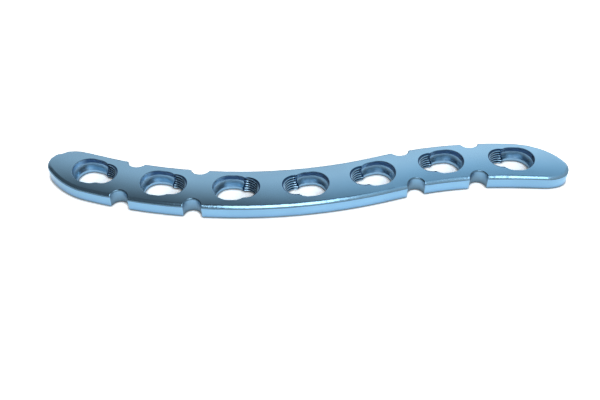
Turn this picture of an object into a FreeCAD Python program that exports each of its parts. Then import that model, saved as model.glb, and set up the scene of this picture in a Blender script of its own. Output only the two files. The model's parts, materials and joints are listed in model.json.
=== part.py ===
"""Orthopedic bone plate: one titanium solid with seven combination screw holes.

The plate is drawn from the point where its left bend turns over into its right bend.
That point is the drawing's origin, and the centre line runs along +X there. The left
bend turns about an axis on +Y and the right bend about an axis on -Y. The ends beyond
the outer holes are straight. +Y is the back, and the underside lies at Z = 0.
"""

import FreeCAD, Part
import Sketcher
import math
import os

NODE = "bone_plate"
V = FreeCAD.Vector
UP = V(0, 0, 1)

# Every size in millimetres, with the name of its cell in the sheet
SIZES = [
    ("width", 10.0, "side wall to side wall"),
    ("thickness", 3.5, "along the centre line"),
    ("crown", 0.6, "drop of the top from the centre line to a side wall"),
    ("top_rounding", 0.75, "round along the top edge"),
    ("edge_break", 0.2, "small round on the underside edge and the notch edges"),
    ("lip_break", 0.1, "smaller round on every edge of the screw holes"),
    ("left_bend_radius", 92.0, "centre line of the left bend"),
    ("left_bend_length", 57.3, "centre line from the first hole to the turn-over"),
    ("right_bend_radius", 73.0, "centre line of the right bend"),
    ("outer_pitch", 14.0, "hole to hole, in the two gaps nearest each end"),
    ("inner_pitch", 13.25, "hole to hole, on each side of the middle hole"),
    ("seat_radius", 3.2, "ball seat of the compression slot, and its lip"),
    ("seat_height", 2.5, "centre of the ball seat above the underside"),
    ("slot_radius", 2.7, "straight lower wall of the compression slot"),
    ("slot_travel", 0.9, "distance between the two end centres of the slot"),
    ("thread_spacing", 2.25, "thread axis to the slot's nearer end centre"),
    ("thread_top_radius", 2.7, "thread root cone at the top"),
    ("thread_bottom_radius", 2.27, "thread root cone at the underside"),
    ("notch_radius", 1.75, "half round undercut in a side wall"),
    ("notch_stand_off", 0.05, "notch axis outside the side wall"),
    ("notch_shift_1", -0.2, "first notch pair, from the middle of its gap"),
    ("notch_shift_2", -0.7, "second notch pair, from the middle of its gap"),
    ("notch_shift_3", 0.35, "third notch pair, from the middle of its gap"),
    ("notch_shift_4", -0.3, "fourth notch pair, from the middle of its gap"),
    ("end_notch_reach", 9.7, "single notch in the left nose, from the first hole"),
    ("end_notch_inset", 1.0, "single notch's axis, in from the back wall's line"),
    ("left_nose_radius", 3.13, "round nose of the left end"),
    ("left_nose_reach", 7.03, "first hole to the left nose's centre"),
    ("left_nose_inset", 4.58, "back wall's line to the left nose's centre"),
    ("left_short_flank", 4.5, "first hole to where the back edge starts to curve in"),
    ("right_nose_radius", 2.5, "round nose of the right end"),
    ("right_nose_reach", 8.45, "last hole to the right nose's centre"),
    ("right_nose_inset", 2.95, "front wall's line to the right nose's centre"),
    ("right_short_flank", 6.5, "last hole to where the front edge starts to curve in"),
]

doc = FreeCAD.newDocument(NODE)
sheet = doc.addObject("Spreadsheet::Sheet", "sizes")
for row, (alias, number, note) in enumerate(SIZES, start=1):
    sheet.set(f"A{row}", alias)
    sheet.set(f"B{row}", str(number))
    sheet.set(f"C{row}", note)
    sheet.setAlias(f"B{row}", alias)
doc.recompute()


def size(alias):
    """A size as a number, for first positions that the expressions then hold."""
    return float(sheet.get(alias))


def number(expression):
    """An expression's value now, for first positions that the constraints then hold."""
    return float(sheet.evalExpression(expression))


def tie(thing, words):
    """Bind an object's properties to expressions."""
    for path, expression in words.items():
        thing.setExpression(path, expression)


# Places along the centre line, as expressions in the sheet's cells

def station(outer_gaps, inner_gaps):
    """Distance along the centre line from the turn-over to a hole."""
    return (f"({outer_gaps} * sizes.outer_pitch + {inner_gaps} * sizes.inner_pitch"
            " - sizes.left_bend_length)")


def place(distance, aside="0"):
    """X, Y and heading at a distance along the centre line and a step to its left."""
    left = f"(min({distance}; 0) / sizes.left_bend_radius * 1 rad)"
    right = f"(max({distance}; 0) / sizes.right_bend_radius * 1 rad)"
    heading = f"({left} - {right})"
    x = (f"sizes.left_bend_radius * sin({left}) + sizes.right_bend_radius * sin({right})"
         f" - {aside} * sin({heading})")
    y = (f"sizes.left_bend_radius * (1 - cos({left}))"
         f" - sizes.right_bend_radius * (1 - cos({right})) + {aside} * cos({heading})")
    return x, y, heading


HOLES = [station(0, 0), station(1, 0), station(2, 0), station(2, 1), station(2, 2),
         station(3, 2), station(4, 2)]
SLOT_ON_THE_LEFT = 3
FIRST, LAST = HOLES[0], HOLES[-1]


# The body's sketches

body = doc.addObject("PartDesign::Body", "blank")


def sketch_on(role, name):
    """An empty sketch on one of the body's origin planes."""
    sketch = body.newObject("Sketcher::SketchObject", name)
    plane = next(item for item in body.Origin.OriginFeatures if item.Role == role)
    sketch.AttachmentSupport = [(plane, "")]
    sketch.MapMode = "FlatFace"
    return sketch


def turn(thing, path, axis, angle):
    """Tie a turn about one axis, which a first angle other than zero sets."""
    setattr(thing, path, FreeCAD.Placement(V(0, 0, 0), FreeCAD.Rotation(axis, 1)))
    tie(thing, {f"{path}.Rotation.Angle": angle})


def constrain(sketch, kind, *where, to=None):
    """Add one constraint, tied to an expression where it has a size."""
    if to is None:
        sketch.addConstraint(Sketcher.Constraint(kind, *where))
    else:
        index = sketch.addConstraint(Sketcher.Constraint(kind, *where, number(to)))
        sketch.setExpression(f"Constraints[{index}]", to)


def from_origin(sketch, piece, point, x=None, y=None):
    """Hold one point of a piece at a distance from the sketch's origin."""
    if x is not None:
        constrain(sketch, "DistanceX", -1, 1, piece, point, to=x)
    if y is not None:
        constrain(sketch, "DistanceY", -1, 1, piece, point, to=y)


def join(sketch, *pairs):
    """Join each piece's end to the next piece's start."""
    for first, second in pairs:
        constrain(sketch, "Coincident", first, 2, second, 1)


def cross_section(name, distance):
    """Flat underside, upright walls and crowned top, square to the centre line."""
    sketch = sketch_on("YZ_Plane", name)
    x, y, heading = place(distance)
    turn(sketch, "AttachmentOffset", V(0, 1, 0), heading)
    tie(sketch, {"AttachmentOffset.Base.z": x, "AttachmentOffset.Base.x": y})
    half = size("width") / 2
    top = size("thickness")
    edge = top - size("crown")
    sketch.addGeometry(Part.LineSegment(V(-half, 0, 0), V(half, 0, 0)))
    sketch.addGeometry(Part.LineSegment(V(half, 0, 0), V(half, edge, 0)))
    sketch.addGeometry(Part.Arc(V(half, edge, 0), V(0, top, 0), V(-half, edge, 0)))
    sketch.addGeometry(Part.LineSegment(V(-half, edge, 0), V(-half, 0, 0)))
    join(sketch, (0, 1), (1, 2), (2, 3), (3, 0))
    constrain(sketch, "Symmetric", 0, 1, 0, 2, -2)
    constrain(sketch, "PointOnObject", 0, 1, -1)
    constrain(sketch, "Vertical", 1)
    constrain(sketch, "Vertical", 3)
    constrain(sketch, "PointOnObject", 2, 3, -2)
    constrain(sketch, "DistanceX", 0, 1, 0, 2, to="sizes.width")
    constrain(sketch, "DistanceY", 1, 1, 1, 2, to="sizes.thickness - sizes.crown")
    constrain(sketch, "Radius", 2,
              to="sizes.crown / 2 + sizes.width * sizes.width / (8 * sizes.crown)")
    return sketch


def bend(name, sketch, axis_at, length, radius, backwards):
    """Sweep the cross section along one bend, about an upright axis beside it."""
    axis = sketch.addGeometry(
        Part.LineSegment(V(number(axis_at), 0, 0), V(number(axis_at), 1, 0)), True)
    constrain(sketch, "Vertical", axis)
    constrain(sketch, "PointOnObject", axis, 1, -1)
    from_origin(sketch, axis, 1, x=axis_at)
    constrain(sketch, "DistanceY", axis, 1, axis, 2, to="sizes.thickness")
    sweep = body.newObject("PartDesign::Revolution", name)
    sweep.Profile = sketch
    sweep.ReferenceAxis = (sketch, [f"Axis{axis - 4}"])
    sweep.Reversed = backwards
    tie(sweep, {"Angle": f"{length} / {radius} * 1 rad"})


def end_stub(side, distance, backwards):
    """Run the cross section straight on past an outer hole and past the end's nose."""
    stub = body.newObject("PartDesign::Pad", f"{side}_end")
    stub.Profile = cross_section(f"{side}_end_section", distance)
    stub.Reversed = backwards
    tie(stub, {"Length": f"sizes.{side}_nose_reach + 1.5 * sizes.{side}_nose_radius"})


def flank(start, nose, radius):
    """Arc from a side wall's point, along the wall at first, to where it meets the nose."""
    across = abs(start.y - nose.y)
    along = nose.x - start.x
    bow = (along ** 2 + across ** 2 - radius ** 2) / (2 * (across - radius))
    centre = V(start.x, start.y - math.copysign(bow, start.y), 0)
    meeting = nose + (nose - centre).normalize() * radius
    middle = centre + ((start + meeting) * 0.5 - centre).normalize() * bow
    return meeting, middle


def trim_nose(side, distance, facing):
    """Cut an end down to its lopsided nose, drawn with X outward from the outer hole.

    The long flank on +Y starts beside the hole, the short one on -Y farther out.
    """
    sketch = sketch_on("XY_Plane", f"{side}_nose_outline")
    x, y, heading = place(distance)
    turn(sketch, "AttachmentOffset", UP, f"{heading} + {facing} deg")
    tie(sketch, {"AttachmentOffset.Base.x": x, "AttachmentOffset.Base.y": y})
    reach = f"sizes.{side}_nose_reach"
    aside = f"sizes.{side}_nose_inset - sizes.width / 2"
    beyond = f"{reach} + 2 * sizes.{side}_nose_radius"
    radius = size(f"{side}_nose_radius")
    nose = V(number(reach), number(aside), 0)
    short_start = V(size(f"{side}_short_flank"), -size("width") / 2, 0)
    long_start = V(0, size("width") / 2, 0)
    short_end, short_middle = flank(short_start, nose, radius)
    long_end, long_middle = flank(long_start, nose, radius)
    tip = nose + V(radius, 0, 0)
    margin = size("width")
    corners = [long_start, V(long_start.x, margin, 0), V(number(beyond), margin, 0),
               V(number(beyond), -margin, 0), V(short_start.x, -margin, 0), short_start]
    sketch.addGeometry(Part.Arc(short_start, short_middle, short_end))
    sketch.addGeometry(Part.Arc(short_end, tip, long_end))
    sketch.addGeometry(Part.Arc(long_end, long_middle, long_start))
    for first, second in zip(corners, corners[1:]):
        sketch.addGeometry(Part.LineSegment(first, second))
    constrain(sketch, "Tangent", 0, 2, 1, 1)
    constrain(sketch, "Tangent", 1, 2, 2, 1)
    join(sketch, (2, 3), (3, 4), (4, 5), (5, 6), (6, 7), (7, 0))
    constrain(sketch, "Vertical", 0, 3, 0, 1)
    constrain(sketch, "Vertical", 2, 3, 2, 2)
    for upright in (3, 5, 7):
        constrain(sketch, "Vertical", upright)
    for level in (4, 6):
        constrain(sketch, "Horizontal", level)
    constrain(sketch, "Radius", 1, to=f"sizes.{side}_nose_radius")
    from_origin(sketch, 1, 3, x=reach, y=aside)
    from_origin(sketch, 0, 1, x=f"sizes.{side}_short_flank", y="-sizes.width / 2")
    constrain(sketch, "PointOnObject", 2, 2, -2)
    from_origin(sketch, 2, 2, y="sizes.width / 2")
    from_origin(sketch, 4, 2, x=beyond, y="sizes.width")
    from_origin(sketch, 6, 2, y="-sizes.width")
    cut_through(f"{side}_nose", sketch)


def cut_through(name, sketch):
    """Cut a sketch's area right through the plate."""
    cut = body.newObject("PartDesign::Pocket", name)
    cut.Profile = sketch
    cut.Type = "ThroughAll"
    cut.Midplane = True


def notches():
    """Half round undercuts, paired between the outer holes, and one in the left nose."""
    sketch = sketch_on("XY_Plane", "notch_outline")
    pairs = [(station(0.5, 0), "sizes.notch_shift_1"), (station(1.5, 0), "sizes.notch_shift_2"),
             (station(2.5, 2), "sizes.notch_shift_3"), (station(3.5, 2), "sizes.notch_shift_4")]
    spots = [place(f"({gap} + {shift})", f"{side} * (sizes.width / 2 + sizes.notch_stand_off)")
             for gap, shift in pairs for side in (-1, 1)]
    x, y, heading = place(FIRST, "(sizes.width / 2 - sizes.end_notch_inset)")
    spots.append((f"{x} - sizes.end_notch_reach * cos({heading})",
                  f"{y} - sizes.end_notch_reach * sin({heading})", heading))
    for piece, (x, y, _) in enumerate(spots):
        sketch.addGeometry(Part.Circle(V(number(x), number(y), 0), UP, size("notch_radius")))
        from_origin(sketch, piece, 3, x=x, y=y)
        constrain(sketch, "Radius", piece, to="sizes.notch_radius")
    cut_through("notches", sketch)


def slope(face, point):
    """The face's outward normal at a point."""
    return face.normalAt(*face.Surface.parameter(point))


def edges_where(shape, test):
    """Names of the edges whose two faces' normals at the middle pass a test."""
    names = []
    for index, edge in enumerate(shape.Edges, start=1):
        middle = edge.valueAt((edge.FirstParameter + edge.LastParameter) / 2)
        normals = [slope(face, middle) for face in shape.ancestorsOfType(edge, Part.Face)]
        if len(normals) == 2 and test(*normals):
            names.append(f"Edge{index}")
    return names


def wall_meets_top(first, second):
    """One face stands upright and the other looks up."""
    return min(abs(first.z), abs(second.z)) < 0.01 and max(first.z, second.z) > 0.5


def is_sharp(first, second):
    """The faces don't run smoothly into each other."""
    return first.getAngle(second) > math.radians(15)


def round_edges(name, radius, test):
    """Round every edge of the body that passes a test."""
    doc.recompute()
    before = body.Tip
    rounding = body.newObject("PartDesign::Fillet", name)
    rounding.Base = (before, edges_where(before.Shape, test))
    tie(rounding, {"Radius": radius})


middle_section = cross_section("middle_section", "0")
bend("left_bend", middle_section, "sizes.left_bend_radius",
     "sizes.left_bend_length", "sizes.left_bend_radius", True)
bend("right_bend", middle_section, "-sizes.right_bend_radius",
     LAST, "sizes.right_bend_radius", True)
end_stub("left", FIRST, True)
end_stub("right", LAST, False)
trim_nose("left", FIRST, 180)
trim_nose("right", LAST, 0)
round_edges("top_rounding", "sizes.top_rounding", wall_meets_top)
notches()
round_edges("broken_edges", "sizes.edge_break", is_sharp)


# One combination hole, drawn about its middle with the thread on -X and the slot on +X

THREAD_X = ("(sizes.thread_top_radius - sizes.thread_spacing - sizes.slot_travel"
            " - sizes.seat_radius) / 2")
SLOT_X = f"({THREAD_X} + sizes.thread_spacing)"
OVERRUN = 1


def primitive(kind, name, words):
    """A Part primitive with its sizes and place tied."""
    thing = doc.addObject(f"Part::{kind}", name)
    tie(thing, words)
    return thing


def stadium(name, radius, low, height):
    """Upright slot shape: two round ends and the straight stretch between them."""
    ends = [primitive("Cylinder", f"{name}_{end}", {
        "Radius": radius, "Height": height, "Placement.Base.x": x, "Placement.Base.z": low})
        for end, x in (("inner", SLOT_X), ("outer", f"{SLOT_X} + sizes.slot_travel"))]
    straight = primitive("Box", f"{name}_straight", {
        "Length": "sizes.slot_travel", "Width": f"2 * {radius}", "Height": height,
        "Placement.Base.x": SLOT_X, "Placement.Base.y": f"-{radius}", "Placement.Base.z": low})
    return ends + [straight]


def ball_seat():
    """Path of a ball along the slot: two spheres and a lying cylinder."""
    ends = [primitive("Sphere", f"seat_{end}", {
        "Radius": "sizes.seat_radius", "Placement.Base.x": x,
        "Placement.Base.z": "sizes.seat_height"})
        for end, x in (("inner", SLOT_X), ("outer", f"{SLOT_X} + sizes.slot_travel"))]
    straight = doc.addObject("Part::Cylinder", "seat_straight")
    turn(straight, "Placement", V(0, 1, 0), "90 deg")
    tie(straight, {"Radius": "sizes.seat_radius", "Height": "sizes.slot_travel",
                   "Placement.Base.x": SLOT_X, "Placement.Base.z": "sizes.seat_height"})
    return ends + [straight]


def thread_cone():
    """Root cone of the conical thread, run on a little past both faces."""
    widening = "(sizes.thread_top_radius - sizes.thread_bottom_radius) / sizes.thickness"
    return [primitive("Cone", "thread_cone", {
        "Radius1": f"sizes.thread_bottom_radius - {OVERRUN} * {widening}",
        "Radius2": f"sizes.thread_top_radius + {OVERRUN} * {widening}",
        "Height": f"sizes.thickness + {2 * OVERRUN}",
        "Placement.Base.x": THREAD_X, "Placement.Base.z": f"-{OVERRUN}"})]


hole = doc.addObject("Part::MultiFuse", "combination_hole")
hole.Shapes = (thread_cone() + ball_seat()
               + stadium("slot", "sizes.slot_radius", f"-{OVERRUN}",
                         f"sizes.thickness + {OVERRUN}")
               + stadium("lip", "sizes.seat_radius", "sizes.seat_height", "sizes.thickness"))
hole.Refine = True

holes = doc.addObject("Part::Compound", "holes")
links = []
for index, distance in enumerate(HOLES, start=1):
    link = doc.addObject("App::Link", f"hole_{index}")
    link.LinkedObject = hole
    x, y, heading = place(distance)
    facing = 180 if index <= SLOT_ON_THE_LEFT else 0
    turn(link, "Placement", UP, f"{heading} + {facing} deg")
    tie(link, {"Placement.Base.x": x, "Placement.Base.y": y})
    links.append(link)
holes.Links = links

drilled = doc.addObject("Part::Cut", "drilled_plate")
drilled.Base = body
drilled.Tool = holes
drilled.Refine = True
doc.recompute()


# The finished plate, with every hole edge broken

plate = doc.addObject("Part::Fillet", "plate")
plate.Label = NODE
plate.Base = drilled
lip = size("lip_break")
plate.Edges = [(int(name.removeprefix("Edge")), lip, lip)
               for name in edges_where(drilled.Shape, is_sharp)]
doc.recompute()


def finished_frame(shape):
    """Turn the outer holes' line onto X and put the origin under the box's middle."""
    first = V(*(number(word) for word in place(FIRST)[:2]), 0)
    last = V(*(number(word) for word in place(LAST)[:2]), 0)
    line = last - first
    turned = FreeCAD.Placement(V(0, 0, 0), FreeCAD.Rotation(line, V(1, 0, 0)))
    copy = shape.copy()
    copy.Placement = turned
    box = copy.optimalBoundingBox(False)
    return FreeCAD.Placement(V(-box.Center.x, -box.Center.y, 0), turned.Rotation)


def check():
    """Stop if any object failed, or if the plate isn't one valid solid."""
    for item in doc.Objects:
        if "Invalid" in item.State or "Error" in item.State:
            raise RuntimeError(f"{item.Label} failed")
    shape = plate.Shape
    if shape.isNull() or not shape.isValid() or len(shape.Solids) != 1:
        raise RuntimeError(f"{plate.Label} is not one valid solid")


check()
plate.Placement = finished_frame(plate.Shape)
os.makedirs("parts", exist_ok=True)
plate.Shape.exportStep(f"parts/{plate.Label}.step")
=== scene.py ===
import bmesh
import bpy
import functools
import json
import math
from mathutils import Euler, Matrix, Vector

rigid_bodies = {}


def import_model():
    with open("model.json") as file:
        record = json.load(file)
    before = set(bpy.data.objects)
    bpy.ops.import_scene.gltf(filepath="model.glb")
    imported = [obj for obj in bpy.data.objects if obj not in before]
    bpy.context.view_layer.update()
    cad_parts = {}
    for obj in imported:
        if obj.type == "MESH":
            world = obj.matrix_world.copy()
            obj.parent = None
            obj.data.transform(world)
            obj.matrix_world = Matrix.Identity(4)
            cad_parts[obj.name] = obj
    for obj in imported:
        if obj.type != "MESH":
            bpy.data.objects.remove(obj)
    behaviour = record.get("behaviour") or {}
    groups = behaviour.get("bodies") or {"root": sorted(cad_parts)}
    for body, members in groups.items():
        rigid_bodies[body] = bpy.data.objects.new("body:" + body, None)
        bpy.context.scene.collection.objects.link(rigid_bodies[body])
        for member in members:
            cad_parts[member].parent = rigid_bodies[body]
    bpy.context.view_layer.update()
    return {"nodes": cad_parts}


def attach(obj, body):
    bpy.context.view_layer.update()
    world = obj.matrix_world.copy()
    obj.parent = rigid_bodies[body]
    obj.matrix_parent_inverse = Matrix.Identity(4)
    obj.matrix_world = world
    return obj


for item in list(bpy.data.objects):
    bpy.data.objects.remove(item)
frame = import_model()

bl_info = {
    "name": "Orthopedic bone plate",
    "version": (1, 0, 0),
    "blender": (4, 5, 0),
    "location": "3D Viewport > Sidebar > Bone Plate",
    "description": "Finishes the seven-hole bone plate and sets it in a white studio",
    "category": "Object",
}

MM = 0.001
PLATE = "bone_plate"
BODY = "root"

# Each hole's place along the centre line: outer and inner pitches from the first hole
HOLES = [(0, 0), (1, 0), (2, 0), (2, 1), (2, 2), (3, 2), (4, 2)]
SLOTS_ON_THE_LEFT = 3
# Each notch pair's place: outer and inner pitches from the first hole, and a shift in mm
NOTCH_PAIRS = [(0.5, 0, -0.2), (1.5, 0, -0.7), (2.5, 2, 0.35), (3.5, 2, -0.3)]


# Sizes and colours that a user would change


def length(name, description, millimetres):
    """A length property with its default given in millimetres."""
    return bpy.props.FloatProperty(name=name, description=description, unit="LENGTH",
                                   default=millimetres * MM, precision=5)


def tint(name, description, default):
    """A colour property."""
    return bpy.props.FloatVectorProperty(name=name, description=description,
                                         subtype="COLOR", default=default)


def share(name, description, default):
    """A property that goes from 0 to 1."""
    return bpy.props.FloatProperty(name=name, description=description, subtype="FACTOR",
                                   default=default, min=0, max=1)


def strength(name, description, default, unit="NONE"):
    """A property that is never below 0."""
    return bpy.props.FloatProperty(name=name, description=description, unit=unit,
                                   default=default, min=0)


class BP_PlateSizes(bpy.types.PropertyGroup):
    """Sizes of the plate's centre line and its notches, as in the part's source"""
    width: length("Width", "Side wall to side wall", 10)
    left_bend_radius: length("Left bend", "Radius of the left bend", 92)
    left_bend_length: length("Left bend length", "First hole to the turn-over", 57.3)
    right_bend_radius: length("Right bend", "Radius of the right bend", 73)
    outer_pitch: length("Outer pitch", "Hole to hole near each end", 14)
    inner_pitch: length("Inner pitch", "Hole to hole beside the middle hole", 13.25)
    turn_over_x: length("Turn-over X", "Where the left bend meets the right one", 15.089)
    turn_over_y: length("Turn-over Y", "Where the left bend meets the right one", -0.365)
    heading: bpy.props.FloatProperty(
        name="Heading", description="The centre line's direction at the turn-over",
        default=math.radians(15.396), unit="ROTATION")
    notch_radius: length("Notch radius", "Half-round notch in a side wall", 1.75)
    notch_stand_off: length("Notch stand-off", "Notch axis outside the side wall", 0.05)
    notch_round: length("Notch round", "Small round on a notch's edges", 0.2)
    end_notch_reach: length("End notch", "Single notch from the first hole", 9.7)
    end_notch_inset: length("End notch inset", "Its axis, in from the back wall", 1)


class BP_HoleSizes(bpy.types.PropertyGroup):
    """Sizes of one combination hole, as in the part's source"""
    thickness: length("Plate thickness", "Thickness along the centre line", 3.5)
    seat_radius: length("Seat radius", "Ball seat of the compression slot", 3.2)
    seat_height: length("Seat height", "Ball centre above the underside", 2.5)
    slot_radius: length("Slot radius", "Straight lower wall of the slot", 2.7)
    slot_travel: length("Slot travel", "Distance between the slot's two end centres", 0.9)
    slot_x: length("Slot place", "Inner end centre from the hole's middle", 0.425)
    lip_depth: length("Lip depth", "Upright lip above the ball seat", 1.25)
    thread_x: length("Thread place", "Thread axis from the hole's middle", -1.825)


class BP_ThreadSizes(bpy.types.PropertyGroup):
    """Sizes of the conical thread"""
    top_radius: length("Top radius", "Root radius at the top of the plate", 2.7)
    bottom_radius: length("Bottom radius", "Root radius at the underside", 2.27)
    pitch: length("Pitch", "Rise of the thread in one turn", 0.56)
    depth: length("Tooth depth", "Height of a tooth above its root", 0.33)
    stand_out: length("Tooth ends", "How far the teeth reach past the seat's surface", 0.1)
    teeth: bpy.props.IntProperty(
        name="Teeth", description="Number of teeth from the underside to the top",
        default=6, min=1)


class BP_TitaniumLook(bpy.types.PropertyGroup):
    """Colours and gloss of the anodised titanium, and its painted light and shade"""
    blue: tint("Anodised blue", "Oxide on open surfaces", (0.26, 0.475, 0.675))
    # Painted light: a paler blue inside the slots and threads stands in for the light that the
    # seats reflect
    hole_blue_painted_light: tint("Hole blue", "Paler oxide inside the holes", (0.38, 0.62, 0.83))
    # Painted shade: the navy stands in for the dark reflections on the slots' upright lips and
    # for the shade between the thread's teeth
    navy: tint("Navy", "Dark oxide on the slots' upright lips and between the teeth",
               (0.015, 0.06, 0.15))
    # Painted shade: grey just above the underside and low down in the notches, where shade
    # falls
    painted_grey_shade: tint("Rubbed grey", "Where the oxide is rubbed thin", (0.16, 0.23, 0.28))
    lip_painted_shade: share("Navy lips", "Share of navy on the slots' upright lips", 0.95)
    groove_painted_shade: share("Navy grooves", "Share of navy in the thread's grooves", 0.95)
    low_painted_grey_shade: share("Rubbed low down", "Share of grey just above the underside", 0.8)
    notch_painted_grey_shade: share("Rubbed notches", "Share of grey low down in the notches", 0.85)
    # Painted shade darkens the notches' rounded top edges, where the softbox's highlight would
    # fall
    notch_lip_painted_shade: share("Notch shade", "How much darker the notches' top edges are", 0.5)
    roughness: share("Roughness", "Roughness of the satin surface", 0.2)
    slot_roughness: share("Slot roughness", "Roughness added inside the slots", 0.08)
    notch_roughness: share("Notch roughness", "Roughness added in the notches", 0.15)
    grain_height: length("Grain height", "Height of the satin grain outside the holes", 0.00075)
    lip_tilt: strength("Lip tilt", "Slope that a bump gives the slots' upright lips", 0.3)


class BP_StudioLook(bpy.types.PropertyGroup):
    """Floor and lights of the white studio"""
    floor_grey: share("Floor grey", "How much light the floor hands on to the object", 0.85)
    floor_white: strength("Floor whiteness", "How white the floor looks", 2.2)
    floor_mirrored: strength("Mirrored floor", "How light the floor is in the metal", 1.8)
    left_glow: strength("Left glow", "Brightness of the tent's left side", 0.12)
    right_glow: strength("Right glow", "Brightness of the tent's right side", 0.60)
    back_glow: strength("Back glow", "Brightness added low down at the back", 0.65)
    softbox: strength("Softbox power", "Power of the softbox over the front", 2.2, "POWER")


# Places along the centre line


def station(outer_gaps, inner_gaps, shift=0):
    """Distance along the centre line from the turn-over to a place given in hole gaps."""
    plate = bpy.context.scene.bp_plate
    return (outer_gaps * plate.outer_pitch + inner_gaps * plate.inner_pitch + shift
            - plate.left_bend_length)


def place_at(distance, aside=0):
    """Place and heading at a distance along the centre line and a step to its left."""
    plate = bpy.context.scene.bp_plate
    left = min(distance, 0) / plate.left_bend_radius
    right = max(distance, 0) / plate.right_bend_radius
    heading = left - right
    x = (plate.left_bend_radius * math.sin(left) + plate.right_bend_radius * math.sin(right)
         - aside * math.sin(heading))
    y = (plate.left_bend_radius * (1 - math.cos(left))
         - plate.right_bend_radius * (1 - math.cos(right)) + aside * math.cos(heading))
    spot = Vector((x, y))
    spot.rotate(Matrix.Rotation(plate.heading, 2))
    return spot + Vector((plate.turn_over_x, plate.turn_over_y)), heading + plate.heading


def hole_places():
    """Each hole's middle and the direction from its thread to its compression slot."""
    for index, gaps in enumerate(HOLES):
        spot, heading = place_at(station(*gaps))
        yield spot, heading + (math.pi if index < SLOTS_ON_THE_LEFT else 0)


def notch_axes():
    """The axes of the paired notches and of the single one in the left nose."""
    plate = bpy.context.scene.bp_plate
    out = plate.width / 2 + plate.notch_stand_off
    for outer_gaps, inner_gaps, shift in NOTCH_PAIRS:
        for side in (-1, 1):
            yield place_at(station(outer_gaps, inner_gaps, shift * MM), side * out)[0]
    spot, heading = place_at(station(*HOLES[0]), plate.width / 2 - plate.end_notch_inset)
    yield spot - plate.end_notch_reach * Vector((math.cos(heading), math.sin(heading)))


# Nodes, materials and objects


class Maths:
    """A node socket that takes part in Python expressions."""

    def __init__(self, tree, socket):
        self.tree = tree
        self.socket = socket

    def maths(self, operation, *values):
        """Add a Math node."""
        made = add_node(self.tree, "ShaderNodeMath", {"operation": operation},
                        dict(enumerate(values)))
        return Maths(self.tree, made.outputs[0])

    def __add__(self, other):
        return self.maths("ADD", self, other)

    def __radd__(self, other):
        return self.maths("ADD", other, self)

    def __sub__(self, other):
        return self.maths("SUBTRACT", self, other)

    def __rsub__(self, other):
        return self.maths("SUBTRACT", other, self)

    def __mul__(self, other):
        return self.maths("MULTIPLY", self, other)

    def __rmul__(self, other):
        return self.maths("MULTIPLY", other, self)

    def __truediv__(self, other):
        return self.maths("DIVIDE", self, other)

    def __rtruediv__(self, other):
        return self.maths("DIVIDE", other, self)

    def __pow__(self, other):
        return self.maths("POWER", self, other)

    def __rpow__(self, other):
        return self.maths("POWER", other, self)

    def least(self, other):
        return self.maths("MINIMUM", self, other)

    def most(self, other):
        return self.maths("MAXIMUM", self, other)

    def below(self, other):
        return self.maths("LESS_THAN", self, other)

    def root(self):
        return self.maths("SQRT", self)

    def sine(self):
        return self.maths("SINE", self)

    def cosine(self):
        return self.maths("COSINE", self)

    def arc_cosine(self):
        return self.maths("ARCCOSINE", self)

    def ramp(self, low, high, first=0.0, last=1.0, kind="LINEAR"):
        """Go from first to last while this value goes from low to high."""
        made = add_node(self.tree, "ShaderNodeMapRange", {"interpolation_type": kind},
                        {0: self, 1: low, 2: high, 3: first, 4: last})
        return Maths(self.tree, made.outputs[0])

    def fall(self, low, high):
        """Go from 1 to 0 while this value goes from low to high."""
        return self.ramp(low, high, 1.0, 0.0)


def add_node(tree, kind, settings=None, inputs=None):
    """Add a node, with its settings made before its inputs are fed."""
    made = tree.nodes.new(kind)
    for name, value in (settings or {}).items():
        setattr(made, name, value)
    for name, value in (inputs or {}).items():
        feed(tree, made.inputs[name], value)
    return made


def feed(tree, socket, value):
    """Link a socket, or set a constant."""
    if isinstance(value, Maths):
        tree.links.new(value.socket, socket)
    elif isinstance(value, bpy.types.NodeSocket):
        tree.links.new(value, socket)
    else:
        socket.default_value = value


def split(tree, vector):
    """X, Y and Z of a vector socket."""
    made = add_node(tree, "ShaderNodeSeparateXYZ", None, {0: vector})
    return [Maths(tree, socket) for socket in made.outputs]


def mixed(tree, factor, first, second):
    """A colour that goes from the first to the second with a factor."""
    made = add_node(tree, "ShaderNodeMix", {"data_type": "RGBA"}, {
        0: factor, 6: first, 7: second})
    return made.outputs[2]


def noise(tree, place, size, detail, roughness):
    """Noise with patches of about one size."""
    made = add_node(tree, "ShaderNodeTexNoise", None, {
        "Vector": place, "Scale": 1 / size, "Detail": detail, "Roughness": roughness})
    return Maths(tree, made.outputs[0])


def new_material(name):
    """An empty node material with its output."""
    material = bpy.data.materials.new(name)
    material.use_nodes = True
    material.node_tree.nodes.clear()
    output = add_node(material.node_tree, "ShaderNodeOutputMaterial")
    return material, material.node_tree, output


def new_object(name, mesh):
    """Link a mesh to the scene as an object at the origin."""
    made = bpy.data.objects.new(name, mesh)
    bpy.context.scene.collection.objects.link(made)
    return made


# Blue anodised titanium

FINISH = "blue anodised titanium"

# Distances beyond a wall between which its tone fades out
SLOT_FADE = (0.0, 0.05 * MM)
THREAD_FADE = (0.02 * MM, 0.06 * MM)
NOTCH_FADE = (0.02 * MM, 0.06 * MM)

# Heights above the underside between which a tone comes in or fades out
LOWER_EDGE = (0.1 * MM, 0.45 * MM)
NOTCH_WALL = (0.3 * MM, 2.6 * MM)
NOTCH_LIP = (2.7 * MM, 3.0 * MM)
# Half the height over which the painted navy shade of a slot's lip comes in
LIP_BLEND = 0.08 * MM

# A tooth's flank ends and its crest begins, as shares of its depth
FLANK_END = 0.55
CREST_START = 0.97

# A lip loses its painted navy shade, down to its least share, as the X of its normal goes up
# through this span
LIP_TURN = (0.2, 0.8)
LEAST_LIP_PAINTED_SHADE = 0.15
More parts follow.
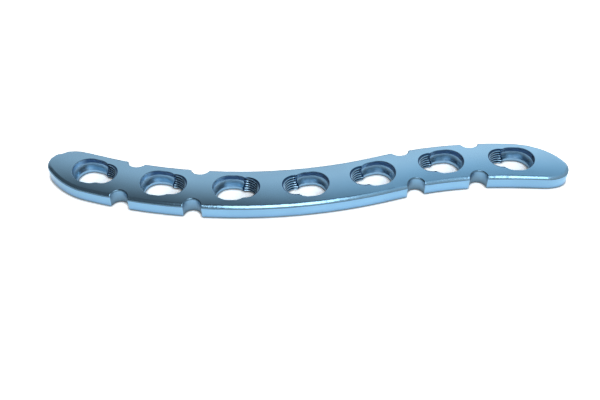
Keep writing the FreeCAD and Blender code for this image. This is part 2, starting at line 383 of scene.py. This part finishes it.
# Share of painted grey shade at the top of a notch's wall
LEAST_NOTCH_GREY = 0.1

# Noise in the finish: the size of its patches, its detail and its detail's roughness
CLOUDS = (9 * MM, 2.0, 0.5)
STREAKS = (4 * MM, 3.0, 0.5)
GRAIN = (0.12 * MM, 2.0, 0.6)
NOISE_MIDDLE = 0.5
# The noise values that a tone goes between, and how much lighter or darker it gets
CLOUD_SPAN = (0.3, 0.7)
CLOUD_TONE = 0.04
GRAIN_SPAN = (0.2, 0.8)
GRAIN_TONE = 0.03
ROUGHNESS_VARIES = 0.03
# The noise values that the painted grey shade's streaks go between, and their least share of it
STREAK_SPAN = (0.35, 0.6)
LEAST_STREAK = 0.4


def hole_distances(tree, place):
    """Distances in the plate's plane to the nearest slot's middle line and thread axis."""
    hole = bpy.context.scene.bp_hole
    first, last = hole.slot_x, hole.slot_x + hole.slot_travel
    slots, threads = [], []
    for spot, heading in hole_places():
        local = add_node(tree, "ShaderNodeMapping", {"vector_type": "TEXTURE"}, {
            "Vector": place, "Location": (*spot, 0), "Rotation": (0, 0, heading)})
        along, aside, _ = split(tree, local.outputs[0])
        slots.append(((along - along.most(first).least(last)) ** 2 + aside ** 2).root())
        threads.append(((along - hole.thread_x) ** 2 + aside ** 2).root())
    return functools.reduce(Maths.least, slots), functools.reduce(Maths.least, threads)


def notch_distance(tree, place):
    """Distance in the plate's plane to the nearest notch axis."""
    x, y, _ = split(tree, place)
    spans = [((x - axis.x) ** 2 + (y - axis.y) ** 2).root() for axis in notch_axes()]
    return functools.reduce(Maths.least, spans)


def hole_masks(tree, place, height):
    """Masks of the slots, of the thread's wall and teeth, and of the teeth's crests."""
    hole = bpy.context.scene.bp_hole
    thread = bpy.context.scene.bp_thread
    to_slot, to_thread = hole_distances(tree, place)
    taper = (thread.top_radius - thread.bottom_radius) / hole.thickness
    beyond_root = to_thread - (height * taper + thread.bottom_radius)
    in_slot = (to_slot - hole.seat_radius).fall(*SLOT_FADE)
    in_thread = beyond_root.fall(*THREAD_FADE)
    crest = beyond_root.fall(-CREST_START * thread.depth, -FLANK_END * thread.depth)
    return in_slot, in_thread, crest


def notch_masks(tree, place, height):
    """Masks of the notches' walls and of their rounded top edges."""
    plate = bpy.context.scene.bp_plate
    beyond_wall = notch_distance(tree, place) - plate.notch_radius
    in_notch = beyond_wall.fall(*NOTCH_FADE)
    lip = beyond_wall.fall(plate.notch_round / 2, plate.notch_round) * height.ramp(*NOTCH_LIP)
    return in_notch, lip


def painted_navy_shade(in_slot, groove, height, facing_right):
    """Painted shade in navy on the slots' upright lips, less where they face right, and in the
    thread's grooves.
    """
    look = bpy.context.scene.bp_titanium
    hole = bpy.context.scene.bp_hole
    lip_foot = hole.thickness - hole.lip_depth
    lip = in_slot * height.ramp(lip_foot - LIP_BLEND, lip_foot + LIP_BLEND)
    turned = facing_right.ramp(*LIP_TURN, 1.0, LEAST_LIP_PAINTED_SHADE, "SMOOTHSTEP")
    return (lip * turned * look.lip_painted_shade).most(groove * look.groove_painted_shade)


def painted_grey_shade_share(in_notch, height, streaks):
    """Painted shade in grey just above the underside, in streaks, and in the notches, less
    further up.
    """
    look = bpy.context.scene.bp_titanium
    streaky = streaks.ramp(*STREAK_SPAN, LEAST_STREAK, 1.0)
    low = height.fall(*LOWER_EDGE) * streaky * look.low_painted_grey_shade
    return low.most(in_notch * height.ramp(*NOTCH_WALL, look.notch_painted_grey_shade, LEAST_NOTCH_GREY))


def lip_relief(in_slot, height):
    """Height of a bump that tilts the slots' upright lips."""
    hole = bpy.context.scene.bp_hole
    above_foot = (height - (hole.thickness - hole.lip_depth)).most(0.0)
    return above_foot * in_slot * bpy.context.scene.bp_titanium.lip_tilt


def titanium():
    """Blue anodised titanium: satin outside, with painted light and shade in the holes, the
    notches and along the lower edge.
    """
    if FINISH in bpy.data.materials:
        return bpy.data.materials[FINISH]
    look = bpy.context.scene.bp_titanium
    material, tree, output = new_material(FINISH)
    texture = add_node(tree, "ShaderNodeTexCoord")
    place = texture.outputs["Object"]
    facing_right = split(tree, texture.outputs["Normal"])[0]
    height = split(tree, place)[2]
    in_slot, in_thread, crest = hole_masks(tree, place, height)
    in_notch, notch_lip = notch_masks(tree, place, height)
    inside = in_slot.most(in_thread)
    clouds = noise(tree, place, *CLOUDS)
    grain = noise(tree, place, *GRAIN)
    streaks = noise(tree, place, *STREAKS)

    # Painted shade in navy on the slots' upright lips and in the thread's grooves
    navy = painted_navy_shade(in_slot, in_thread * (1 - crest), height, facing_right)
    # Painted shade in grey just above the underside and in the notches
    painted_grey_shade = painted_grey_shade_share(in_notch, height, streaks) * (1 - navy)
    # Painted light: paler blue inside the holes
    oxide = mixed(tree, inside, (*look.blue, 1), (*look.hole_blue_painted_light, 1))
    shaded = mixed(tree, navy, oxide, (*look.navy, 1))
    grey_shaded = mixed(tree, painted_grey_shade, shaded, (*look.painted_grey_shade, 1))
    # Random tone, and painted shade on the notches' top edges
    tone = (clouds.ramp(*CLOUD_SPAN, 1 - CLOUD_TONE, 1 + CLOUD_TONE)
            * grain.ramp(*GRAIN_SPAN, 1 - GRAIN_TONE, 1 + GRAIN_TONE)
            * (1 - notch_lip * look.notch_lip_painted_shade))
    colour = add_node(tree, "ShaderNodeVectorMath", {"operation": "SCALE"}, {
        0: grey_shaded, "Scale": tone})
    gloss = (look.roughness + (streaks - NOISE_MIDDLE) * ROUGHNESS_VARIES
             + (grain - NOISE_MIDDLE) * ROUGHNESS_VARIES
             + in_slot * look.slot_roughness + in_notch * look.notch_roughness)
    relief = grain * (1 - inside) * look.grain_height + lip_relief(in_slot, height)
    bump = add_node(tree, "ShaderNodeBump", None, {
        "Height": relief, "Distance": 1.0, "Strength": 1.0})
    metal = add_node(tree, "ShaderNodeBsdfPrincipled", None, {
        "Base Color": colour.outputs[0], "Metallic": 1.0, "Roughness": gloss,
        "Normal": bump.outputs[0]})
    tree.links.new(metal.outputs[0], output.inputs["Surface"])
    return material


class BP_OT_plate(bpy.types.Operator):
    """Give the plate its anodised finish, with its painted light and shade"""
    bl_idname = "bone_plate.plate"
    bl_label = "Plate"

    def execute(self, context):
        for slot in frame["nodes"][PLATE].material_slots:
            slot.material = titanium()
        return {"FINISHED"}


# Conical threads

# One tooth's outline, from inside the wall round its crest and back: step in from the root
# as a share of the depth, and step up from its middle as a share of the pitch
TOOTH = [(-0.3, -0.44), (0.0, -0.40), (0.5, -0.23), (0.88, -0.10), (1.0, -0.04),
         (1.0, 0.04), (0.88, 0.10), (0.5, 0.23), (0.0, 0.40), (-0.3, 0.44), (-0.3, -0.44)]
TOOTH_STEPS = 80
TOOTH_ARC = math.radians(240)
# Where a tooth's two ends close to a point, above the root as a share of the depth
TOOTH_TIP = 0.3
# Height of the first tooth halfway along it, in pitches above the underside
FIRST_TOOTH = 0.45
CLEAR_OF_UNDERSIDE = 0.1 * MM
CLEAR_OF_TOP = 0.3 * MM
# Points closer than this become one
WELD = 0.0002 * MM
SHARP_ANGLE = math.radians(35)

# The node tree's number inputs and the sizes that they take
THREAD_INPUTS = {
    "Thickness": ("bp_hole", "thickness"), "Seat Radius": ("bp_hole", "seat_radius"),
    "Seat Height": ("bp_hole", "seat_height"), "Slot Radius": ("bp_hole", "slot_radius"),
    "Slot Place": ("bp_hole", "slot_x"), "Thread Place": ("bp_hole", "thread_x"),
    "Top Radius": ("bp_thread", "top_radius"), "Bottom Radius": ("bp_thread", "bottom_radius"),
    "Pitch": ("bp_thread", "pitch"), "Depth": ("bp_thread", "depth"),
    "Tooth Ends": ("bp_thread", "stand_out"),
}


def pick(tree, place, steps):
    """Pick from a list of numbers by a place from 0 to 1, straight between them."""
    low, high = min(steps), max(steps)
    curve = add_node(tree, "ShaderNodeFloatCurve", None, {"Value": place})
    line = curve.mapping.curves[0]
    for _ in steps[2:]:
        line.points.new(0.5, 0.5)
    for index, (point, step) in enumerate(zip(line.points, steps)):
        point.location = (index / (len(steps) - 1), (step - low) / (high - low))
        point.handle_type = "VECTOR"
    curve.mapping.update()
    return Maths(tree, curve.outputs[0]) * (high - low) + low


def slot_limit(given, height, radius):
    """Angle from the back of the thread's wall at which its teeth reach the slot."""
    below_ball = (given("Seat Height") - height).most(0.0)
    ball = (given("Seat Radius") ** 2 - below_ball ** 2).most(0.0).root()
    opening = ball.most(given("Slot Radius")) - given("Tooth Ends")
    spacing = given("Slot Place") - given("Thread Place")
    reach = (spacing ** 2 + radius ** 2 - opening ** 2) / (spacing * radius * 2)
    return math.pi - reach.arc_cosine()


def tooth_spot(tree, given):
    """Where a point of the flat sheets goes on one hole's conical wall."""
    position = add_node(tree, "GeometryNodeInputPosition").outputs[0]
    along, across, tooth = split(tree, position)
    # 1 at a tooth's two ends, which close to a point, and 0 between them
    at_end = 1 - (along * along).below((0.5 - 0.5 / TOOTH_STEPS) ** 2)
    outline = across / (len(TOOTH) - 1) + 0.5
    inward = (pick(tree, outline, [step for step, _ in TOOTH]) * (1 - at_end)
              + at_end * TOOTH_TIP)
    upward = pick(tree, outline, [step for _, step in TOOTH]) * (1 - at_end)

    turn = along * TOOTH_ARC
    rise = tooth + FIRST_TOOTH + turn / (2 * math.pi) + upward
    top = given("Thickness") - CLEAR_OF_TOP
    height = (rise * given("Pitch")).most(CLEAR_OF_UNDERSIDE).least(top)
    taper = (given("Top Radius") - given("Bottom Radius")) / given("Thickness")
    radius = given("Bottom Radius") + taper * height - inward * given("Depth")
    limit = slot_limit(given, height, radius)
    angle = turn.most(0 - limit).least(limit)
    spot = add_node(tree, "ShaderNodeCombineXYZ", None, {
        0: given("Thread Place") - radius * angle.cosine(),
        1: 0 - radius * angle.sine(), 2: height})
    return spot.outputs[0]


def thread_tree():
    """Node tree that wraps the teeth round one hole's wall and copies them to every hole."""
    tree = bpy.data.node_groups.new("conical thread", "GeometryNodeTree")
    tree.interface.new_socket("Holes", in_out="INPUT", socket_type="NodeSocketGeometry")
    for name in THREAD_INPUTS:
        tree.interface.new_socket(name, in_out="INPUT", socket_type="NodeSocketFloat")
    tree.interface.new_socket("Teeth", in_out="INPUT", socket_type="NodeSocketInt")
    tree.interface.new_socket("Metal", in_out="INPUT", socket_type="NodeSocketMaterial")
    tree.interface.new_socket("Thread", in_out="OUTPUT", socket_type="NodeSocketGeometry")
    start = add_node(tree, "NodeGroupInput")
    end = add_node(tree, "NodeGroupOutput")

    def given(name):
        return Maths(tree, start.outputs[name])

    def made(kind, inputs=None, settings=None):
        return add_node(tree, kind, settings, inputs).outputs[0]

    # Flat sheets, one above the other: X runs along a tooth, Y round its outline
    sheet = made("GeometryNodeMeshGrid", {
        "Size X": 1.0, "Size Y": len(TOOTH) - 1.0,
        "Vertices X": TOOTH_STEPS, "Vertices Y": len(TOOTH)})
    row = made("GeometryNodeMeshLine", {"Count": given("Teeth"), "Offset": (0.0, 0.0, 1.0)})
    copies = made("GeometryNodeInstanceOnPoints", {"Points": row, "Instance": sheet})
    flat = made("GeometryNodeRealizeInstances", {0: copies})
    wrapped = made("GeometryNodeSetPosition", {
        "Geometry": flat, "Position": tooth_spot(tree, given)})
    closed = made("GeometryNodeMergeByDistance", {"Geometry": wrapped, "Distance": WELD})

    facing = made("GeometryNodeInputNamedAttribute", {"Name": "facing"}, {"data_type": "FLOAT"})
    spin = made("FunctionNodeEulerToRotation", {
        0: made("ShaderNodeCombineXYZ", {2: facing})})
    holes = made("GeometryNodeInstanceOnPoints", {
        "Points": start.outputs["Holes"], "Instance": closed, "Rotation": spin})
    real = made("GeometryNodeRealizeInstances", {0: holes})
    metal = made("GeometryNodeSetMaterial", {
        "Geometry": real, "Material": start.outputs["Metal"]})
    tree.links.new(metal, end.inputs["Thread"])
    return tree


def baked(carrier, tree, values, name):
    """Run a node tree on an object and keep the result as a plain mesh object."""
    modifier = carrier.modifiers.new("nodes", "NODES")
    modifier.node_group = tree
    for item in tree.interface.items_tree:
        if item.in_out == "INPUT" and item.name in values:
            modifier[item.identifier] = values[item.name]
    graph = bpy.context.evaluated_depsgraph_get()
    mesh = bpy.data.meshes.new_from_object(carrier.evaluated_get(graph))
    mesh.name = name
    bpy.data.objects.remove(carrier)
    shell = bmesh.new()
    shell.from_mesh(mesh)
    bmesh.ops.recalc_face_normals(shell, faces=shell.faces)
    shell.to_mesh(mesh)
    shell.free()
    return new_object(name, mesh)


class BP_OT_thread(bpy.types.Operator):
    """Make the teeth of the conical thread in all seven combination holes"""
    bl_idname = "bone_plate.thread"
    bl_label = "Threads"

    def execute(self, context):
        points = bpy.data.meshes.new("hole middles")
        points.from_pydata([(*spot, 0) for spot, _ in hole_places()], [], [])
        facing = points.attributes.new("facing", "FLOAT", "POINT")
        facing.data.foreach_set("value", [heading for _, heading in hole_places()])
        values = {name: getattr(getattr(context.scene, group), size)
                  for name, (group, size) in THREAD_INPUTS.items()}
        values["Teeth"] = context.scene.bp_thread.teeth
        values["Metal"] = titanium()
        carrier = new_object("hole middles", points)
        thread = baked(carrier, thread_tree(), values, "hole_threads")
        thread.data.polygons.foreach_set("use_smooth", [True] * len(thread.data.polygons))
        thread.data.set_sharp_from_angle(angle=SHARP_ANGLE)
        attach(thread, BODY)
        return {"FINISHED"}


# White studio

FLOOR_HALF = 0.45
FLOOR_DROP = 0.02 * MM
# How far off the plate shades the floor, as the camera sees it and as the metal mirrors it
SEEN_REACH = 0.5 * MM
SEEN_POWER = 1.5
MIRRORED_REACH = 1.0 * MM
REACH_SAMPLES = 8
# The mirrored floor is darker for rays that graze it
GRAZING = (0.27, 0.65)
GRAZING_SHARE = 0.35

TENT_RADIUS = 0.8
TENT_SEGMENTS = 48
# Parts of the tent, as spans of a direction's X to the right, Y to the back and Z upwards
LEFT_TO_RIGHT = (-0.3, 0.5)
TOWARDS_THE_BACK = (0.35, 0.8)
OVERHEAD = (0.93, 0.98)
OVERHEAD_SHARE = 0.3
COOL_TO_THE_RIGHT = (-0.1, 0.3)
COOL_UPWARDS = (0.6, 0.85)
COOL_WHITE = (0.9, 1.12, 1.25, 1)

# The bearing goes clockwise from the back, as seen from above
SOFTBOX_BEARING = math.radians(176)
SOFTBOX_RISE = math.radians(43)
SOFTBOX_DISTANCE = 0.6
SOFTBOX_WIDTH = 0.30
SOFTBOX_DEPTH = 0.72

WHITE = (1, 1, 1, 1)

LENS = 50
SENSOR = 36
CAMERA_PLACE = Vector((-6.939, -115.639, 115.44)) * MM
CAMERA_TURN = Euler((math.radians(44), 0, math.radians(-2.6335)))


def floor_shade(tree):
    """White with contact shadows for the camera, and a little less for every other ray."""
    look = bpy.context.scene.bp_studio

    def open_share(reach):
        made = add_node(tree, "ShaderNodeAmbientOcclusion", {"samples": REACH_SAMPLES},
                        {"Distance": reach})
        return Maths(tree, made.outputs["AO"])

    path = add_node(tree, "ShaderNodeLightPath")
    camera_ray = Maths(tree, path.outputs["Is Camera Ray"])
    glossy_ray = Maths(tree, path.outputs["Is Glossy Ray"])
    glass_ray = Maths(tree, path.outputs["Is Transmission Ray"])
    slant = Maths(tree, add_node(tree, "ShaderNodeLayerWeight").outputs["Facing"])
    white = look.floor_white * open_share(SEEN_REACH) ** SEEN_POWER
    mirrored = (look.floor_mirrored * open_share(MIRRORED_REACH)
                * slant.ramp(*GRAZING, 1.0, GRAZING_SHARE, "SMOOTHSTEP"))
    seen = (camera_ray + glass_ray).least(1.0)
    return (white * seen + mirrored * glossy_ray
            + look.floor_grey * (1 - (seen + glossy_ray).least(1.0)))


def floor():
    """A floor that looks white from above, keeps the plate's shadow and is clear from below."""
    mesh = bpy.data.meshes.new("floor")
    corners = [(-1, -1), (1, -1), (1, 1), (-1, 1)]
    mesh.from_pydata([(x * FLOOR_HALF, y * FLOOR_HALF, -FLOOR_DROP) for x, y in corners],
                     [], [(0, 1, 2, 3)])
    material, tree, output = new_material("white floor")
    shade = floor_shade(tree)
    grey = add_node(tree, "ShaderNodeCombineColor", None, {0: shade, 1: shade, 2: shade})
    paper = add_node(tree, "ShaderNodeBsdfDiffuse", None, {"Color": grey.outputs[0]})
    clear = add_node(tree, "ShaderNodeBsdfTransparent")
    below = add_node(tree, "ShaderNodeNewGeometry").outputs["Backfacing"]
    one_sided = add_node(tree, "ShaderNodeMixShader", None, {
        0: below, 1: paper.outputs[0], 2: clear.outputs[0]})
    tree.links.new(one_sided.outputs[0], output.inputs["Surface"])
    mesh.materials.append(material)
    new_object("floor", mesh)


def tent():
    """A light tent, bright low down at the back and on the right, dark overhead."""
    look = bpy.context.scene.bp_studio
    mesh = bpy.data.meshes.new("light tent")
    shell = bmesh.new()
    bmesh.ops.create_uvsphere(shell, u_segments=TENT_SEGMENTS,
                              v_segments=TENT_SEGMENTS // 2, radius=TENT_RADIUS)
    shell.to_mesh(mesh)
    shell.free()
    material, tree, output = new_material("light tent")
    place = add_node(tree, "ShaderNodeTexCoord").outputs["Object"]
    unit = add_node(tree, "ShaderNodeVectorMath", {"operation": "NORMALIZE"}, {0: place})
    x, y, z = split(tree, unit.outputs[0])
    side = x.ramp(*LEFT_TO_RIGHT, look.left_glow, look.right_glow, "SMOOTHSTEP")
    back = y.ramp(*TOWARDS_THE_BACK, 0.0, look.back_glow)
    overhead = z.ramp(*OVERHEAD, 1.0, OVERHEAD_SHARE, "SMOOTHSTEP")
    cool = x.ramp(*COOL_TO_THE_RIGHT) * z.ramp(*COOL_UPWARDS)
    glow = add_node(tree, "ShaderNodeEmission", None, {
        "Color": mixed(tree, cool, WHITE, COOL_WHITE), "Strength": (side + back) * overhead})
    tree.links.new(glow.outputs[0], output.inputs["Surface"])
    mesh.materials.append(material)
    dome = new_object("light tent", mesh)
    dome.visible_camera = False


def softbox():
    """The softbox high over the front, which draws the highlight along the front edge."""
    flat = math.cos(SOFTBOX_RISE)
    bearing = SOFTBOX_BEARING
    place = SOFTBOX_DISTANCE * Vector((
        math.sin(bearing) * flat, math.cos(bearing) * flat, math.sin(SOFTBOX_RISE)))
    data = bpy.data.lights.new("softbox", "AREA")
    data.shape = "RECTANGLE"
    data.size = SOFTBOX_WIDTH
    data.size_y = SOFTBOX_DEPTH
    data.energy = bpy.context.scene.bp_studio.softbox
    lamp = bpy.data.objects.new("softbox", data)
    lamp.location = place
    lamp.rotation_euler = (-place).to_track_quat("-Z", "Y").to_euler()
    bpy.context.scene.collection.objects.link(lamp)


def white_world():
    """A plain white world beyond the tent."""
    world = bpy.data.worlds.new("white")
    world.use_nodes = True
    world.node_tree.nodes["Background"].inputs["Color"].default_value = WHITE
    bpy.context.scene.world = world


def camera():
    """The photograph's camera: 46 degrees down, turned a little clockwise."""
    data = bpy.data.cameras.new("camera")
    data.lens = LENS
    data.sensor_width = SENSOR
    data.clip_start = 1 * MM
    view = bpy.data.objects.new("camera", data)
    view.location = CAMERA_PLACE
    view.rotation_euler = CAMERA_TURN
    bpy.context.scene.collection.objects.link(view)
    bpy.context.scene.camera = view


class BP_OT_stage(bpy.types.Operator):
    """Set up the white studio: floor, light tent, softbox and camera"""
    bl_idname = "bone_plate.stage"
    bl_label = "Studio"

    def execute(self, context):
        floor()
        tent()
        softbox()
        white_world()
        camera()
        context.scene.view_settings.view_transform = "Standard"
        return {"FINISHED"}


# Panel and registration


class BP_PT_panel(bpy.types.Panel):
    """Sizes, colours and building steps of the bone plate"""
    bl_idname = "BP_PT_panel"
    bl_label = "Bone Plate"
    bl_space_type = "VIEW_3D"
    bl_region_type = "UI"
    bl_category = "Bone Plate"

    def draw(self, context):
        for name, group in GROUPS.items():
            box = self.layout.box()
            for size in group.__annotations__:
                box.prop(getattr(context.scene, name), size)
        for step in STEPS:
            self.layout.operator(step.bl_idname)


GROUPS = {"bp_plate": BP_PlateSizes, "bp_hole": BP_HoleSizes, "bp_thread": BP_ThreadSizes,
          "bp_titanium": BP_TitaniumLook, "bp_studio": BP_StudioLook}
STEPS = [BP_OT_plate, BP_OT_thread, BP_OT_stage]
CLASSES = [*GROUPS.values(), *STEPS, BP_PT_panel]


def register():
    """Register the classes and hang the sizes on the scene."""
    for item in CLASSES:
        bpy.utils.register_class(item)
    for name, group in GROUPS.items():
        setattr(bpy.types.Scene, name, bpy.props.PointerProperty(type=group))


def unregister():
    """Take the sizes off the scene and unregister the classes."""
    for name in GROUPS:
        delattr(bpy.types.Scene, name)
    for item in reversed(CLASSES):
        bpy.utils.unregister_class(item)


def main():
    """Build everything in order."""
    register()
    bpy.ops.bone_plate.plate()
    bpy.ops.bone_plate.thread()
    bpy.ops.bone_plate.stage()


if __name__ == "__main__":
    main()
